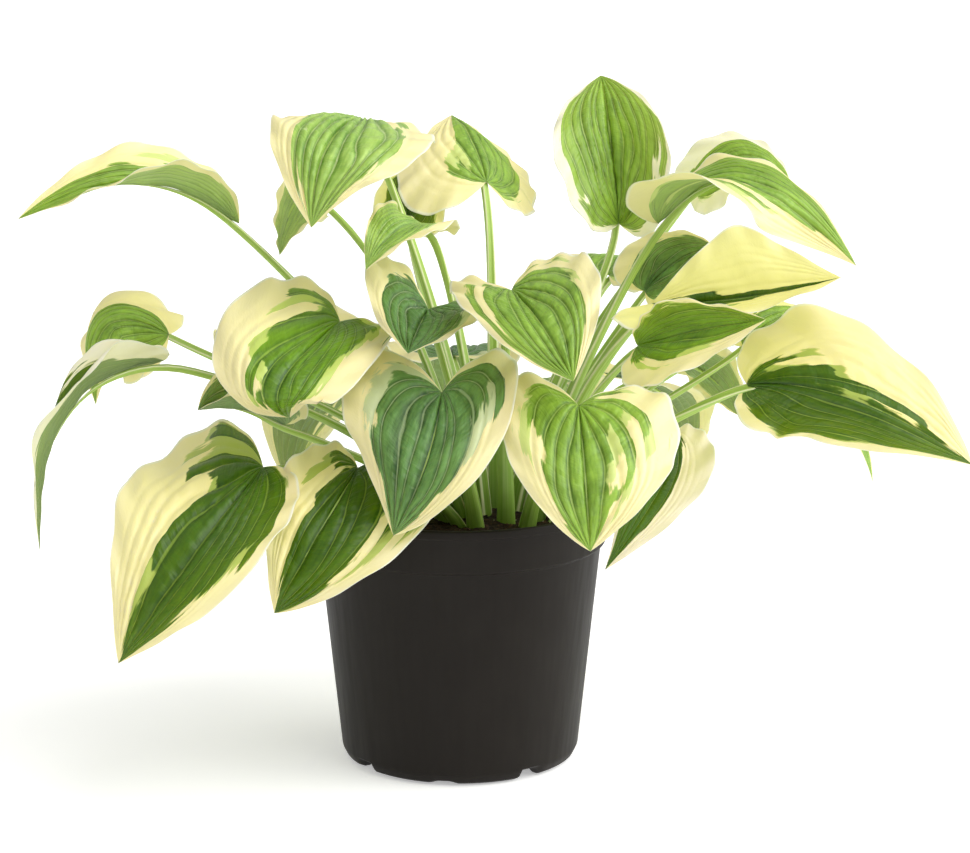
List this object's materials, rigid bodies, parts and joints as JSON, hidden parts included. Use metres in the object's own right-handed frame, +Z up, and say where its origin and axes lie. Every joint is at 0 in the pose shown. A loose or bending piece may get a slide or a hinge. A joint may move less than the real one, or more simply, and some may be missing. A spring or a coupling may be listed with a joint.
{
  "type": "potted hosta plant",
  "caption": "Variegated hosta in a plain round nursery pot: a clump of heart-shaped, cream-edged leaves on channelled stems rising from the soil.",
  "frame": {"origin": "middle of the pot's foot, on the surface the pot stands on", "axes": "+Z up the pot; -Y is the front, the side with the two large heart-shaped leaves over the rim; +X is to the right seen from the front"},
  "size_m": [0.584, 0.3897, 0.421],
  "materials": {
    "pot_plastic": "satin moulded plastic, dark brown-black",
    "potting_soil": "loose, damp potting mix",
    "hosta_leaf": "satin leaf, green centre with cream margins"
  },
  "bodies": {
    "root": {"leaf_arching_right": "hosta_leaf", "leaf_back_left_low": "hosta_leaf", "leaf_back_left_mid": "hosta_leaf", "leaf_back_low": "hosta_leaf", "leaf_back_mid": "hosta_leaf", "leaf_back_right_low": "hosta_leaf", "leaf_back_right_mid": "hosta_leaf", "leaf_centre": "hosta_leaf", "leaf_dark_right": "hosta_leaf", "leaf_far_left": "hosta_leaf", "leaf_far_right": "hosta_leaf", "leaf_far_right_behind": "hosta_leaf", "leaf_front_left": "hosta_leaf", "leaf_front_right": "hosta_leaf", "leaf_hanging_right": "hosta_leaf", "leaf_left_arched": "hosta_leaf", "leaf_left_drooping": "hosta_leaf", "leaf_left_round": "hosta_leaf", "leaf_left_small": "hosta_leaf", "leaf_level_right": "hosta_leaf", "leaf_low_left_inner": "hosta_leaf", "leaf_low_left_outer": "hosta_leaf", "leaf_right_back_top": "hosta_leaf", "leaf_right_inner": "hosta_leaf", "leaf_right_lower_tip": "hosta_leaf", "leaf_right_under": "hosta_leaf", "leaf_tall": "hosta_leaf", "leaf_top_centre": "hosta_leaf", "leaf_top_left": "hosta_leaf", "leaf_top_left_behind": "hosta_leaf", "leaf_upper_dark": "hosta_leaf", "leaf_upper_small": "hosta_leaf", "leaf_upper_small_behind": "hosta_leaf", "pot": "pot_plastic", "soil": "potting_soil"}
  },
  "joints": []
}
